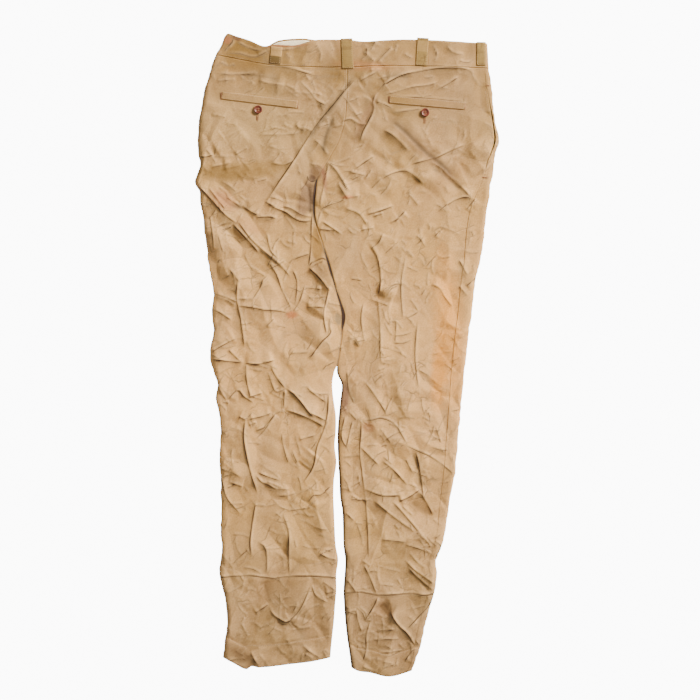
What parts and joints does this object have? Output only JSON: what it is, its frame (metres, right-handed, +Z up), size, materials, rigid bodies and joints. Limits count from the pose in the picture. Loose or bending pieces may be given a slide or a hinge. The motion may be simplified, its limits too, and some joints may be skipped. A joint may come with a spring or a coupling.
{
  "type": "military chino trousers laid flat",
  "caption": "Plain khaki twill uniform trousers laid flat, back upwards: belt loops, welt hip pockets with buttons, side pocket, straight legs and wide turned-up hems.",
  "frame": {"origin": "on the surface under the middle of the trousers' outline", "axes": "+Y from the hems to the waistband, +X to the wearer's right (the picture's right), +Z up out of the surface, through the fronts and then the backs"},
  "size_m": [0.518, 1.0934, 0.012],
  "materials": {
    "chino_cloth": "worn cotton twill, matt, creased and faintly stained",
    "waistband_lining": "pale plain cotton",
    "loop_cloth": "olive khaki twill, matt",
    "button_plastic": "brown four-hole button, softly shiny"
  },
  "bodies": {
    "root": {"back_left": "chino_cloth", "back_right": "chino_cloth", "front_left": "chino_cloth", "front_right": "chino_cloth", "waistband_left": "chino_cloth", "waistband_right": "chino_cloth", "waistband_lining": "waistband_lining", "fly_underlap": "chino_cloth", "pocket_facing_right": "chino_cloth", "welt_left": "chino_cloth", "welt_right": "chino_cloth", "loop_center_back": "loop_cloth", "loop_back_left": "loop_cloth", "loop_back_right": "loop_cloth", "loop_side_right": "loop_cloth", "button_left": "button_plastic", "button_right": "button_plastic"}
  },
  "joints": []
}
